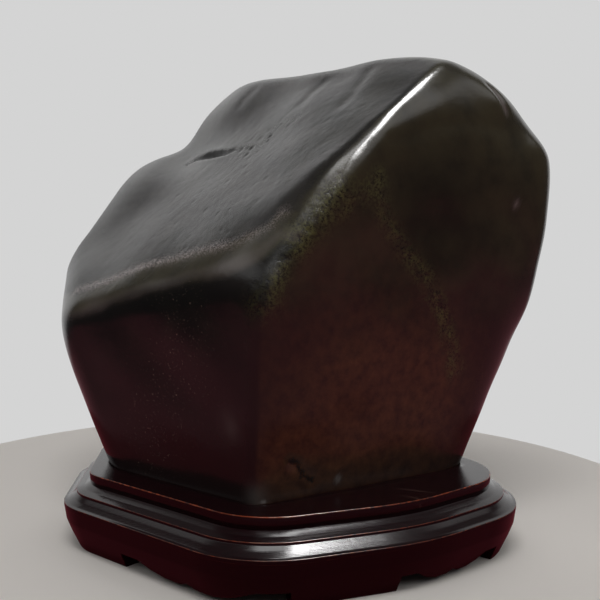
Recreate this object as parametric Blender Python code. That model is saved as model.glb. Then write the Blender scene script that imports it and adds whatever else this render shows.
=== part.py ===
"""A scholars rock on its carved wooden stand, for Blender 4.5.

Three pieces: the stone, the seat board that it sits in, and the carved base with its feet.
All named sizes are in millimetres and degrees; MM turns them into Blender's metres.
Bearings run anticlockwise seen from above, from +X. The front faces -Y.
"""

import bmesh
import bpy
import numpy as np

MM = 0.001

# The stone: facets around its heart, each with its bearing, its pitch above the horizontal,
# its reach from the heart, and the width over which it is rounded against those before it.
HEART = (0.0, 10.0, 120.0)
FACETS = {
    "right_front": (-57.3, -7.1, 58.6, 0.0),
    "edge_bevel": (-84.5, 27.7, 84.6, 8.0),
    "front_bevel": (-110.5, 26.4, 69.5, 7.0),
    "left_front": (-129.7, -4.0, 70.8, 6.0),
    "slope": (-142.3, 43.5, 54.5, 3.0),
    "left_brow": (-135.5, 31.0, 59.5, 5.0),
    "left_cheek": (196.3, 8.2, 106.1, 8.0),
    "left_end": (177.4, -27.6, 122.6, 12.0),
    "right_low": (-6.3, -35.2, 118.2, 6.0),
    "right_high": (3.4, -0.4, 118.9, 9.0),
    "right_shoulder": (11.3, 49.3, 132.4, 14.8),
    "front_shoulder": (-58.8, 59.4, 127.3, 66.1),
    "back_low": (84.0, -17.0, 60.0, 20.0),
    "back_high": (82.5, 12.6, 90.1, 5.9),
    "back_left": (127.2, 4.2, 130.5, 12.0),
    "back_right": (46.6, -22.9, 92.6, 33.4),
    "crown": (43.3, 78.1, 107.5, 6.9),
}
# Soft swellings (height above zero) and hollows (below zero): centre, radii, height.
SWELLS = {
    "lower_lobe": ((-88, 80, 170), (32, 34, 30), 6.0),
    "upper_lobe": ((-30, 80, 217), (32, 34, 28), 6.0),
    "cleft": ((-62, 84, 187), (19, 44, 17), -4.0),
    "crown_swell": ((48, 22, 220), (42, 34, 24), 2.1),
    "crown_dip": ((18, 14, 216), (12, 30, 12), -1.5),
    "shoulder_dip": ((106, -5, 190), (16, 26, 10), -2.5),
    "right_face_dip": ((52, -36, 160), (30, 20, 38), -1.6),
    "left_face_dip": ((-62, -25, 85), (26, 20, 40), -0.8),
    "back_hollow": ((-8, 82, 120), (52, 30, 46), -5.0),
    "back_swell": ((62, 72, 120), (30, 30, 50), 4.0),
    "left_heel_dip": ((-92, 55, 80), (24, 30, 40), -3.0),
    "right_heel_dip": ((78, 38, 70), (26, 26, 30), -3.0),
}
RIPPLE_LENGTHS = (58.0, 41.0, 29.0)
RIPPLE_PITCHES = (-50.0, 0.0, 50.0)
RIPPLE_HEIGHT = 0.09
GOLDEN_ANGLE = 137.5
STONE_FOOT = 29.9
STONE_GRID = 64
STONE_TRIANGLES = 5400
FARTHEST_REACH = 400.0
SOLVE_STEPS = 34
SHARP_ANGLE = 35.0

# The stand's plan: the corners of the seat board's upper edge, with the radius of each.
CORNERS = {
    "left": (-96.5, -12.0, 22.0),
    "front": (-19.0, -77.0, 34.0),
    "front_right": (45.0, -54.0, 100.0),
    "right": (98.0, -10.0, 34.0),
    "back_right": (52.8, 56.0, 24.0),
    "back_left": (-103.5, 54.0, 18.0),
}
PLAN_MIDDLE = (-6.0, -8.0)
STATION_SPACING = 8.0
ARC_POINTS = 25

SEAT_TOP = 33.0
SEAT_UNDERSIDE = 28.1
SEAT_UNDERCUT = 0.4
RECESS_FLOOR = 29.6
RECESS_CLEARANCE = 0.8
JOINT_GAP = 0.3
# Offset and height of the fascia's turn into its undercut.
FASCIA_WAIST = (-0.1, 29.8)

# Heights and offsets from the plan line, outward, down the base's moulded outside.
BASE_PROFILE = (
    (-7.0, SEAT_UNDERSIDE - JOINT_GAP),
    (-0.5, SEAT_UNDERSIDE - JOINT_GAP),
    (2.3, 26.2),
    (5.8, 25.2),
    (5.8, 24.2),
    (7.6, 22.5),
    (10.0, 20.9),
    (11.4, 20.6),
    (11.4, 19.0),
    (10.5, 13.0),
)
APRON_FOOT_OFFSET = 4.8
APRON_KNEE = (8.6, 8.2)
APRON_THICKNESS = 9.0
UNDERSIDE = 11.0

# Each foot spans these bearings seen from the middle of the plan.
FEET = {
    "left": (-192.0, -154.0),
    "front": (-89.0, -50.0),
    "right": (-12.0, 14.0),
    "back_right": (36.0, 62.0),
    "back_left": (131.0, 156.0),
}
POCKET_HEIGHT = 6.8
PENDANT_HEIGHT = 2.2
NOTCH_HEIGHT = 3.9
POCKET_MIDSLOPE = 3.6
# Shares of half an opening, from the foot to the middle: where the pocket ends, where the
# pendant begins and where its notch begins.
POCKET_END, PENDANT_START, NOTCH_START = 0.28, 0.66, 0.88
STEP_WIDTH = 0.5

# sRGB colour, roughness
STONE_FINISH = (0.10, 0.09, 0.085, 0.25)
WOOD_FINISH = (0.20, 0.05, 0.05, 0.30)


def clear_scene():
    for obj in list(bpy.data.objects):
        bpy.data.objects.remove(obj, do_unlink=True)


def material(name, finish):
    made = bpy.data.materials.new(name)
    made.use_nodes = True
    shader = made.node_tree.nodes["Principled BSDF"]
    red, green, blue, roughness = finish
    linear = [((value + 0.055) / 1.055) ** 2.4 for value in (red, green, blue)]
    shader.inputs["Base Color"].default_value = (*linear, 1.0)
    shader.inputs["Roughness"].default_value = roughness
    shader.inputs["Metallic"].default_value = 0.0
    made.diffuse_color = (*linear, 1.0)
    return made


def direction(bearing, pitch):
    bearing, pitch = np.radians((bearing, pitch))
    flat = np.cos(pitch)
    return np.array((np.cos(bearing) * flat, np.sin(bearing) * flat, np.sin(pitch)))


def rounded_max(first, second, width):
    """The greater of two distances, with the corner between them rounded over this width."""
    blend = np.maximum(width - np.abs(first - second), 0.0)
    return np.maximum(first, second) + blend * blend / (4.0 * width)


def ripples(points):
    """Long low waves, one set for each wavelength, each turned by the golden angle."""
    total = np.zeros(points.shape[:-1])
    for turn, length in enumerate(RIPPLE_LENGTHS):
        for axis, pitch in enumerate(RIPPLE_PITCHES):
            heading = direction(GOLDEN_ANGLE * (3 * turn + axis), pitch)
            total += np.sin(2 * np.pi * (points @ heading) / length + turn + 2 * axis)
    return RIPPLE_HEIGHT * total


def stone_distance(points):
    """How far points lie outside the stone's skin, in mm. It is negative inside."""
    from_heart = points - np.array(HEART)
    distance = None
    for bearing, pitch, reach, width in FACETS.values():
        beyond = from_heart @ direction(bearing, pitch) - reach
        distance = beyond if distance is None else rounded_max(distance, beyond, width)
    for centre, radii, height in SWELLS.values():
        spread = (points - np.array(centre)) / np.array(radii)
        distance = distance - height * np.exp(-(spread**2).sum(-1))
    return distance - ripples(points)


def reach_to_skin(origin, headings, clearance=0.0):
    """The distance from the origin along each heading at which the stone's skin is met."""
    low = np.zeros(len(headings))
    high = np.full(len(headings), FARTHEST_REACH)
    for _ in range(SOLVE_STEPS):
        middle = (low + high) / 2
        inside = stone_distance(origin + middle[:, None] * headings) < clearance
        low = np.where(inside, middle, low)
        high = np.where(inside, high, middle)
    return low


def finished(name, bm, finish):
    """An object from a bmesh in millimetres, with outward normals and its own material."""
    bmesh.ops.recalc_face_normals(bm, faces=bm.faces)
    if bm.calc_volume(signed=True) < 0:
        bmesh.ops.reverse_faces(bm, faces=bm.faces)
    bmesh.ops.scale(bm, vec=(MM, MM, MM), verts=bm.verts)
    mesh = bpy.data.meshes.new(name)
    bm.to_mesh(mesh)
    bm.free()
    mesh.shade_smooth()
    mesh.set_sharp_from_angle(angle=np.radians(SHARP_ANGLE))
    obj = bpy.data.objects.new(name, mesh)
    obj.data.materials.append(material(name, finish))
    bpy.context.scene.collection.objects.link(obj)
    return obj


def make_stone():
    bm = bmesh.new()
    bmesh.ops.create_cube(bm, size=2.0)
    bmesh.ops.subdivide_edges(bm, edges=bm.edges[:], cuts=STONE_GRID - 1, use_grid_fill=True)
    cube = np.array([vertex.co for vertex in bm.verts])
    headings = np.tan(cube * np.pi / 4)
    headings /= np.linalg.norm(headings, axis=1, keepdims=True)
    heart = np.array(HEART)
    skin = heart + reach_to_skin(heart, headings)[:, None] * headings
    for vertex, place in zip(bm.verts, skin):
        vertex.co = place
    cut = bmesh.ops.bisect_plane(
        bm,
        geom=bm.verts[:] + bm.edges[:] + bm.faces[:],
        plane_co=(0, 0, STONE_FOOT),
        plane_no=(0, 0, -1),
        clear_outer=True,
    )
    rim = [item for item in cut["geom_cut"] if isinstance(item, bmesh.types.BMEdge)]
    bmesh.ops.holes_fill(bm, edges=rim, sides=0)
    bmesh.ops.triangulate(bm, faces=bm.faces[:])
    faces = len(bm.faces)
    stone = finished("scholars_rock", bm, STONE_FINISH)
    fewer = stone.modifiers.new("fewer_faces", "DECIMATE")
    fewer.decimate_type = "COLLAPSE"
    fewer.ratio = STONE_TRIANGLES / faces
    return stone


def plan_line():
    """Points closely spaced along the seat board's upper edge, with their outward normals.

    Each corner is an arc of its radius, and straight runs join the arcs.
    """
    places = np.array([corner[:2] for corner in CORNERS.values()])
    points, normals = [], []
    for index, (*_, radius) in enumerate(CORNERS.values()):
        corner = places[index]
        before = corner - places[index - 1]
        after = places[(index + 1) % len(places)] - corner
        start, end = (np.arctan2(-run[0], run[1]) for run in (before, after))
        turn = (end - start) % (2 * np.pi)
        bisector = np.array((np.cos(start + turn / 2), np.sin(start + turn / 2)))
        centre = corner - bisector * radius / np.cos(turn / 2)
        for share in np.linspace(0, 1, ARC_POINTS):
            angle = start + share * turn
            normals.append((np.cos(angle), np.sin(angle)))
            points.append(centre + radius * np.array(normals[-1]))
    return np.array(points), np.array(normals)


class Plan:
    """The plan line as a closed curve, read by the distance along it."""

    def __init__(self):
        points, normals = plan_line()
        self.points = np.vstack((points, points[:1]))
        self.normals = np.vstack((normals, normals[:1]))
        runs = np.linalg.norm(np.diff(self.points, axis=0), axis=1)
        self.along = np.concatenate(((0.0,), np.cumsum(runs)))
        self.length = self.along[-1]

    def read(self, table, places):
        columns = [np.interp(places, self.along, column) for column in table.T]
        return np.stack(columns, axis=1)

    def ring(self, places, offsets, heights):
        """Points at these distances along the line, moved outward and set at these heights."""
        normals = self.read(self.normals, places)
        normals /= np.linalg.norm(normals, axis=1, keepdims=True)
        flat = self.read(self.points, places) + normals * np.reshape(offsets, (-1, 1))
        return np.column_stack((flat, np.broadcast_to(heights, len(places))))

    def place_at(self, bearing):
        """How far along the line the point of this bearing from the plan's middle lies."""
        spokes = self.points - np.array(PLAN_MIDDLE)
        bearings = np.unwrap(np.arctan2(spokes[:, 1], spokes[:, 0]))
        first = bearings[0]
        wanted = first + (np.radians(bearing) - first) % (2 * np.pi)
        return np.interp(wanted, bearings, self.along)


def openings(plan):
    """The start and the length of each opening between two feet, along the plan line."""
    feet = [[plan.place_at(bearing) for bearing in span] for span in FEET.values()]
    spans = []
    for index, (_, end) in enumerate(feet):
        following = feet[(index + 1) % len(feet)][0]
        spans.append((end, (following - end) % plan.length))
    return spans


def apron_edge(plan, places):
    """The height of the apron's lower edge: zero on the feet, scalloped over each opening."""
    heights = np.zeros(len(places))
    for start, length in openings(plan):
        inside = (places - start) % plan.length
        from_foot = np.minimum(inside, length - inside)
        share = from_foot / (length / 2)
        scallop = np.interp(
            share,
            (POCKET_END, (POCKET_END + PENDANT_START) / 2, PENDANT_START, NOTCH_START, 1.0),
            (POCKET_HEIGHT, POCKET_MIDSLOPE, PENDANT_HEIGHT, PENDANT_HEIGHT, NOTCH_HEIGHT),
        )
        heights = np.where((inside < length) & (from_foot > 0), scallop, heights)
    return heights


def stations(plan):
    """Distances along the plan line: evenly spaced, with more where the apron's edge turns."""
    turns = []
    for start, length in openings(plan):
        shares = (0, POCKET_END, (POCKET_END + PENDANT_START) / 2, PENDANT_START, NOTCH_START, 1)
        for share in shares:
            for side in (share, 2 - share):
                turns.append(start + side * length / 2)
        turns += [start + STEP_WIDTH, start + length - STEP_WIDTH]
    turns = np.unique(np.round(np.array(turns) % plan.length, 3))
    even = np.arange(0, plan.length, STATION_SPACING)
    gaps = np.abs(even[:, None] - turns[None, :])
    gaps = np.minimum(gaps, plan.length - gaps).min(axis=1)
    return np.sort(np.concatenate((even[gaps > STATION_SPACING / 4], turns)))


def loft(name, rings, finish):
    """A closed solid with these rings as its rows, capped by a face at each end."""
    bm = bmesh.new()
    rows = [[bm.verts.new(point) for point in ring] for ring in rings]
    for upper, lower in zip(rows, rows[1:]):
        for index in range(len(upper)):
            following = (index + 1) % len(upper)
            bm.faces.new((upper[index], lower[index], lower[following], upper[following]))
    bm.faces.new(rows[0])
    bm.faces.new(rows[-1])
    return finished(name, bm, finish)


def recess_ring(plan, places, height):
    """The recess's wall at this height: the stone's outline where it enters the seat board."""
    middle = np.array((*PLAN_MIDDLE, SEAT_TOP))
    spokes = plan.ring(places, 0.0, SEAT_TOP) - middle
    spokes /= np.linalg.norm(spokes, axis=1, keepdims=True)
    reach = reach_to_skin(middle, spokes, RECESS_CLEARANCE)
    outline = middle + reach[:, None] * spokes
    outline[:, 2] = height
    return outline


def make_seat_board(plan, places):
    rings = [
        plan.ring(places, -SEAT_UNDERCUT, SEAT_UNDERSIDE),
        plan.ring(places, *FASCIA_WAIST),
        plan.ring(places, 0.0, SEAT_TOP),
        recess_ring(plan, places, SEAT_TOP),
        recess_ring(plan, places, RECESS_FLOOR),
    ]
    return loft("seat_board", rings, WOOD_FINISH)


def make_stand_base(plan, places):
    edge = apron_edge(plan, places)
    knee_offset, knee_height = APRON_KNEE
    edge_offset = np.interp(edge, (0.0, knee_height), (APRON_FOOT_OFFSET, knee_offset))
    inner = APRON_FOOT_OFFSET - APRON_THICKNESS
    rings = [plan.ring(places, offset, height) for offset, height in BASE_PROFILE]
    rings += [
        plan.ring(places, knee_offset, knee_height),
        plan.ring(places, edge_offset, edge),
        plan.ring(places, inner, edge),
        plan.ring(places, inner, UNDERSIDE),
    ]
    return loft("stand_base", rings, WOOD_FINISH)


def centre_on_origin(objects):
    """Moves the objects together, so that the middle of their box's floor is the origin."""
    bpy.context.view_layer.update()
    graph = bpy.context.evaluated_depsgraph_get()
    corners = np.array([corner for obj in objects for corner in obj.evaluated_get(graph).bound_box])
    middle = (corners.min(axis=0) + corners.max(axis=0)) / 2
    for obj in objects:
        obj.location = (-middle[0], -middle[1], 0.0)


def main():
    clear_scene()
    plan = Plan()
    places = stations(plan)
    pieces = [make_stone(), make_seat_board(plan, places), make_stand_base(plan, places)]
    centre_on_origin(pieces)


main()
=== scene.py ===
"""Looks of a polished black scholars rock on its carved, lacquered stand, for Blender 4.5.

Shapes are worked out in millimetres in the frame of the stone's maker, whose origin lies
under the middle of the stone. ORIGIN_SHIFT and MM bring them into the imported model's frame.
Bearings run anticlockwise seen from above, from +X. The front faces -Y.
"""

import bpy
import numpy as np
from mathutils import Matrix, Vector


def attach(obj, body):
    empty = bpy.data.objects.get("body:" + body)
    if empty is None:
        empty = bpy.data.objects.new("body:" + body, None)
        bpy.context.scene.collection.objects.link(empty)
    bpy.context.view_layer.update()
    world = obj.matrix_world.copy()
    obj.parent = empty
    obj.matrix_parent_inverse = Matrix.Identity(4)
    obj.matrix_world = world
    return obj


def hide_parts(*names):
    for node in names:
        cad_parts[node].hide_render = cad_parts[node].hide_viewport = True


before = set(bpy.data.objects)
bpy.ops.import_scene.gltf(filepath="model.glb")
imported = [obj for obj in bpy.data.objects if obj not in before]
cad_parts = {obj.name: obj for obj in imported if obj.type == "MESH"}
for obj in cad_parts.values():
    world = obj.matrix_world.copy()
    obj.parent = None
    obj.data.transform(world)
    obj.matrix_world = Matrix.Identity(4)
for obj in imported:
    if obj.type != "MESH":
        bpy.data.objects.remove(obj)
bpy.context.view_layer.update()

MM = 0.001
ORIGIN_SHIFT = np.array((4.1799, -8.294, 0.0))

# ---------------------------------------------------------------- the stone's main form
HEART = np.array((0.0, 10.0, 120.0))
# Facets around the heart: bearing, pitch above the horizontal, reach, rounding width.
FACETS = {
    "right_front": (-57.3, -7.1, 58.6, 0.0),
    "edge_bevel": (-84.5, 27.7, 84.6, 8.0),
    "front_bevel": (-110.5, 26.4, 69.5, 7.0),
    "left_front": (-129.7, -4.0, 70.8, 6.0),
    "slope": (-142.3, 43.5, 54.5, 3.0),
    "left_brow": (-135.5, 31.0, 59.5, 5.0),
    "left_cheek": (196.3, 8.2, 106.1, 8.0),
    "left_end": (177.4, -27.6, 122.6, 12.0),
    "right_low": (-6.3, -35.2, 118.2, 6.0),
    "right_high": (3.4, -0.4, 118.9, 9.0),
    "right_shoulder": (11.3, 49.3, 132.4, 14.8),
    "front_shoulder": (-58.8, 59.4, 127.3, 66.1),
    "back_low": (84.0, -17.0, 60.0, 20.0),
    "back_high": (82.5, 12.6, 90.1, 5.9),
    "back_left": (127.2, 4.2, 130.5, 12.0),
    "back_right": (46.6, -22.9, 92.6, 33.4),
    "crown": (43.3, 78.1, 107.5, 6.9),
}
# Soft swellings and, below zero, hollows: centre, radii, height.
SWELLS = {
    "lower_lobe": ((-88, 80, 170), (32, 34, 30), 6.0),
    "upper_lobe": ((-30, 80, 217), (32, 34, 28), 6.0),
    "cleft": ((-62, 84, 187), (19, 44, 17), -4.0),
    "crown_swell": ((48, 22, 220), (42, 34, 24), 2.1),
    "crown_dip": ((18, 14, 216), (12, 30, 12), -1.5),
    "shoulder_dip": ((106, -5, 190), (16, 26, 10), -2.5),
    "right_face_dip": ((52, -36, 160), (30, 20, 38), -1.6),
    "left_face_dip": ((-62, -25, 85), (26, 20, 40), -0.8),
    "back_hollow": ((-8, 82, 120), (52, 30, 46), -5.0),
    "back_swell": ((62, 72, 120), (30, 30, 50), 4.0),
    "left_heel_dip": ((-92, 55, 80), (24, 30, 40), -3.0),
    "right_heel_dip": ((78, 38, 70), (26, 26, 30), -3.0),
}
RIPPLE_LENGTHS = (58.0, 41.0, 29.0)
RIPPLE_HEIGHT = 0.09
RIPPLE_PITCH = 50.0
GOLDEN_ANGLE = 137.5
STONE_FOOT = 29.9
# The relief fades in between these heights above the foot.
RELIEF_START, RELIEF_FULL = 1.0, 6.0
STONE_GRID = 127
ALMOST_LEVEL = -1e-6
FARTHEST_SKIN = 400.0
SOLVE_STEPS = 30

# ---------------------------------------------------------------- marks on the stone
CRACK = ((-60.3, 58.4, 179.1), (-54.7, 56.0, 181.9), (-48.4, 47.4, 182.4), (-42.3, 37.9, 182.2),
         (-37.0, 30.0, 181.7), (-32.7, 26.2, 182.7), (-28.4, 20.8, 182.5))
CHATTER = ((-28.0, 22.0, 183.6), (-23.2, 14.0, 182.0), (-18.2, 7.9, 182.1), (-14.6, 11.9, 187.8),
           (-11.8, 13.1, 191.3), (-7.5, 10.4, 193.6), (-2.3, 4.6, 194.5))
CREASES = (
    ((-0.5, 14.4, 202.7), (5.2, 18.4, 209.1), (11.0, 21.8, 214.5)),
    ((18.4, -11.7, 198.2), (24.2, -4.3, 206.3), (31.7, 5.1, 216.9)),
    ((-32.3, 60.7, 210.9), (-28.1, 62.4, 215.9), (-24.0, 64.6, 220.5)),
    ((37.9, -41.6, 177.8), (53.7, -30.9, 184.3), (70.3, -20.8, 188.4), (88.5, -8.3, 187.9)),
)
EDGE_VEIN = ((-14.8, -67.3, 114.5), (-12.5, -67.5, 120.1), (-8.0, -65.9, 127.6),
             (-2.4, -63.5, 135.2), (3.3, -61.3, 142.8), (9.1, -58.6, 149.4), (15.1, -55.3, 156.5))
ARC_VEIN = ((9.1, -57.6, 146.8), (17.1, -53.6, 150.9), (23.2, -50.0, 154.7), (28.2, -46.8, 158.1),
            (30.7, -45.4, 162.2))
FALLING_VEIN = ((30.7, -45.4, 162.2), (31.7, -44.1, 155.5), (33.6, -42.1, 148.8),
                (36.4, -39.1, 142.5), (41.1, -34.6, 135.6), (45.8, -30.9, 130.2),
                (50.5, -27.7, 125.1), (55.4, -24.3, 118.6), (59.0, -21.1, 111.9),
                (63.3, -16.9, 102.9), (67.4, -12.2, 89.1), (69.4, -9.5, 79.7))
CAVITY = ((-4.5, -52.5, 48.8), (-1.3, -50.0, 46.6), (1.1, -47.9, 42.7), (4.4, -45.2, 39.5))
RIM_CHIP = ((84.8, -4.0, 208.0), (89.5, -3.6, 202.5), (93.2, -3.4, 195.8))
# Where the gloss streak runs out; pale grains along it are a painted highlight.
STREAK = ((13.0, -55.5, 160.5), (16.7, -52.2, 166.2), (23.3, -48.1, 173.7), (28.0, -45.0, 179.0))
RIDGE = ((-109.1, 23.1, 113.4), (-88.7, 3.3, 120.8), (-67.0, -13.1, 128.3), (-46.8, -30.6, 133.5),
         (-28.4, -48.8, 137.4), (-14.1, -56.9, 144.2), (-8.3, -56.3, 149.6))

# The crack gapes in its middle and closes towards its ends, between raised lips.
CRACK_MIDDLE = ((-45, 42, 182), (12, 16, 12))
CRACK_DEPTH, CRACK_DEPTH_AT_ENDS = 2.1, 0.252
CRACK_WIDTH, CRACK_WIDTH_AT_ENDS = 2.0, 0.9
# How far a line wanders, with the size of a bend in mm and a seed.
CRACK_WANDER, CRACK_BEND = 0.6, (5.0, 11)
LIP_HEIGHT, LIP_PLACE, LIP_WIDTH = 0.3, 3.5, 2.0
CHATTER_WIDTH = 6.0
PITTED_PLACE = ((-72, 45, 162), (22, 26, 22))
PITTED_ELSEWHERE = 0.35
# Grooves: their lines, depth, half-width, how far they wander, the size of a bend, and a seed.
GROOVES = {
    "crease": (CREASES, 0.3, 3.6, 1.0, 5.0, 11),
    "rim_chip": ((RIM_CHIP,), 0.7, 1.8, 0.8, 3.0, 67),
    "cavity": ((CAVITY,), 0.8, 2.0, 0.9, 3.0, 71),
}
# Round pits where a mark shows: depth, spacing, radius and a seed.
PITS = {
    "chatter": (0.4, 3.6, 1.6, 21),
    "pitted": (0.28, 5.5, 1.3, 31),
    "vein": (0.3, 3.4, 1.1, 61),
}
PIT_CHANCE = 0.5
# Soft lumps where a mark shows: the mark, their height, size and a seed.
LUMPS = (
    ("slope", 0.16, 22.0, 41),
    ("slope", 0.06, 3.0, 45),
    ("vein", 0.2, 2.6, 51),
    ("ridge", 0.12, 2.2, 65),
    ("everywhere", 0.05, 8.0, 81),
)

# Where the edge of a coloured place wanders: the size of a bend in mm, and a seed.
MARK_BEND = (9.0, 91)
# Coloured lines: the line, its half-width and its strength.
VEINS = ((EDGE_VEIN, 6.5, 1.0), (ARC_VEIN, 4.5, 0.7), (FALLING_VEIN, 4.2, 0.9))
VEIN_WANDER = 1.5
# The cavity and the chatter, darkened as painted shade in their hollows.
SCARS = ((CAVITY, 3.2, 0.55), (CHATTER, CHATTER_WIDTH, 0.38))
# The crack darkened as painted shade: its half-width, and its share at the ends.
CRACK_SCAR_WIDTH, CRACK_SCAR_AT_ENDS = 3.2, 0.45
RIDGE_WIDTH, RIDGE_WANDER, RIDGE_BEND = 2.8, 0.8, (4.0, 95)
# Half-width and strength of the painted highlight grains along the streak.
STREAK_WIDTH, STREAK_STRENGTH = 2.4, 0.12
# A pale line painted along the rim chip as its highlight: half-width and strength.
CHIP_HIGHLIGHT_WIDTH, CHIP_HIGHLIGHT = 1.3, 0.9
# Clouds of colour: centre, radii and strength.
RUST_CLOUDS = (
    ((32, -36, 70), (60, 60, 52), 0.7),
    ((28, -38, 75), (26, 26, 22), 0.6),
    ((55, -18, 68), (20, 20, 24), 0.7),
    ((14, -40, 50), (16, 16, 10), 0.6),
    ((-6, -54, 50), (16, 16, 16), 0.7),
)
# Pale clouds: two patches below the ridge, a painted glint near the base corner, a white dot and a
# lint speck.
PALE_SPOTS_AND_GLINT = (
    ((-27, -60, 124), (12, 12, 7), 0.5),
    ((-97, 2, 109), (10, 10, 6), 0.25),
    ((-17.8, -57.6, 36.2), (4, 4, 5), 0.35),
    ((15.4, -38.3, 38.0), (1.4, 1.4, 1.4), 1.0),
    ((97.7, -2.5, 154.6), (1.5, 1.5, 2.0), 1.0),
)
SMUDGE = ((-28, -53, 64), (6, 6, 7))
SMUDGE_STRENGTH = 0.3
SPECK_CLOUDS = (
    ((-50, -38, 95), (14, 14, 24), 1.0),
    ((-62, -26, 76), (14, 14, 14), 1.0),
    ((-66, -22, 52), (16, 16, 14), 0.8),
)
# Painted shade over the right face's shallow hollow.
PAINTED_SHADE_CLOUDS = (((58, -27, 150), (30, 28, 27), 0.6),)
# Painted light in bands on the left face: a sheen on the olive brow, a pale sheen, and shade. Each is
# given by the drop below the ridge at which it starts, is full, fades and is gone, with its strength
# and how far its lower edge wanders.
SHEEN_AND_SHADE_BANDS = {
    "brow": (0.5, 2.5, 9.0, 13.0, 1.0, 0.0),
    "pale_marks_and_sheen": (7.0, 10.0, 11.0, 15.0, 0.2, 2.0),
    "dark": (12.0, 16.0, 20.0, 42.0, 0.85, 9.0),
}
# Cosines of the turn away from a facet's own facing, between which a mark on it fades in.
SLOPE_FACING, FACE_FACING, LEFTWARD_FACING = (0.80, 0.93), (0.75, 0.92), (0.6, 0.75)
# Heights between which the red-brown stone, partly a painted reflection of red from below, gives way,
# and the olive stone takes over.
WARM_HEIGHTS, WARM_WANDER = (78.0, 128.0), 12.0
OLIVE_HEIGHTS, OLIVE_WANDER = (95.0, 150.0), 10.0

# ---------------------------------------------------------------- the stand
CORNERS = {
    "left": (-96.5, -12.0, 22.0),
    "front": (-19.0, -77.0, 34.0),
    "front_right": (45.0, -54.0, 100.0),
    "right": (98.0, -10.0, 34.0),
    "back_right": (52.8, 56.0, 24.0),
    "back_left": (-103.5, 54.0, 18.0),
}
PLAN_MIDDLE = (-6.0, -8.0)
STATION_SPACING = 1.0
ARC_POINTS = 41
SHARP_ANGLE = 40.0
SEAT_TOP = 33.0
SEAT_UNDERSIDE = 28.1
SEAT_UNDERCUT = 0.4
RECESS_FLOOR = 29.6
RECESS_CLEARANCE = 0.15
JOINT_GAP = 0.3
SHADOW_LINE = 0.25
# The seat board's edge, from its underside up to the seat: offset from the plan line,
# height, radius of the turn, and how worn the turn is.
SEAT_PROFILE = (
    (-SEAT_UNDERCUT - 1.5, SEAT_UNDERSIDE - SHADOW_LINE, 0.0, 0.0),
    (-SEAT_UNDERCUT, SEAT_UNDERSIDE - SHADOW_LINE, 0.3, 0.0),
    (-0.1, 29.8, 2.0, 0.0),
    (0.0, SEAT_TOP, 0.5, 1.0),
    (-2.0, SEAT_TOP, 0.0, 0.0),
)
SEAT_SHARES = (0.33, 0.67, 1.0)
# The recess's rounded rim and its wall: depth, distance out from the wall, and wear.
RECESS_PROFILE = (
    (0.0, 0.6, 0.0),
    (0.25, 0.15, 0.3),
    (0.6, 0.0, 0.0),
    (SEAT_TOP - RECESS_FLOOR, 0.0, 0.0),
)
RECESS_REACH = 150.0
APRON_FOOT_OFFSET = 4.8
APRON_KNEE = (8.6, 8.2)
APRON_THICKNESS = 9.0
APRON_SHARES = (0.35, 0.7, 0.92)
# The apron's lower arris: distance inward, rise where there is an opening, and wear.
APRON_ARRIS = ((0.15, 0.12, 0.25), (0.5, 0.0, 0.0))
UNDERSIDE = 11.0
FEET = {
    "left": (-192.0, -154.0),
    "front": (-89.0, -50.0),
    "right": (-12.0, 14.0),
    "back_right": (36.0, 62.0),
    "back_left": (131.0, 156.0),
}
POCKET_HEIGHT = 6.8
PENDANT_HEIGHT = 2.2
NOTCH_HEIGHT = 3.9
POCKET_MIDSLOPE = 3.6
POCKET_END, PENDANT_START, NOTCH_START = 0.28, 0.66, 0.88
STEP_WIDTH = 0.5
# The base's outside in the same terms, from under the seat board down to the apron.
BASE_PROFILE = (
    (-7.0, SEAT_UNDERSIDE - JOINT_GAP, 0.0, 0.0),
    (-0.5, SEAT_UNDERSIDE - JOINT_GAP, 0.3, 0.0),
    (2.3, 26.2, 3.0, 0.0),
    (5.8, 25.2, 0.35, 0.6),
    (5.8, 24.2, 0.5, 0.0),
    (7.6, 22.5, 6.0, 0.0),
    (10.0, 20.9, 2.5, 0.0),
    (11.4, 20.6, 0.4, 0.5),
    (11.4, 19.0, 1.5, 0.1),
    (10.5, 13.0, 6.0, 0.0),
)
FILLET_POINTS = 6
LONGEST_FILLET = 0.45
# The front corner, rubbed to orange and painted pale pink there as a highlight: centre and radii.
RUBBED_AND_HIGHLIT_CORNER = ((-10.0, -72.0, 28.0), (20.0, 14.0, 14.0))
SPLIT = ((77.1, -41.6, 16.2), (78.4, -39.8, 13.0), (80.5, -36.1, 9.1))
SPLIT_WIDTH = 0.9
SCRATCH = ((47.5, -33.0, 33.0), (47.1, -41.6, 33.0), (46.8, -49.8, 33.0), (47.9, -50.4, 30.3))
SCRATCH_WIDTH, SCRATCH_STRENGTH = 0.5, 0.25

# ---------------------------------------------------------------- the studio
FLOOR_MIDDLE = (-24.18, 58.294, 0.0)
FLOOR_RINGS = (20.0, 100.0, 200.0)
FLOOR_RADIUS = 230.0
FLOOR_EDGE = 6.0
FLOOR_SKIRT = 30.0
FLOOR_SIDES, FLOOR_EDGE_POINTS = 256, 8
# Area lights, in metres: place, aim, width and length, and power.
LIGHTS = {
    "key_softbox": ((-0.46, 0.72, 0.75), (0, 0, 0.12), (0.75, 0.45), 0.29),
    "overhead": ((-0.03, -0.52, 1.1), (0.09, -0.02, 0), (0.52, 0.36), 3.7),
    "fill_panel": ((0.657, -0.377, 0.757), (0.045, -0.035, 0.19), (0.34, 0.40), 0.3),
}
# A narrow bright light seen in gloss alone, turned so that it lies along the stone's edge.
GLOSS_STRIP = ((0.27, -0.205, 0.80), (0.045, -0.035, 0.19), (0.20, 0.50), 13.0)
GLOSS_STRIP_ALONG = (-0.144, 0.468, 0.158)
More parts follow.
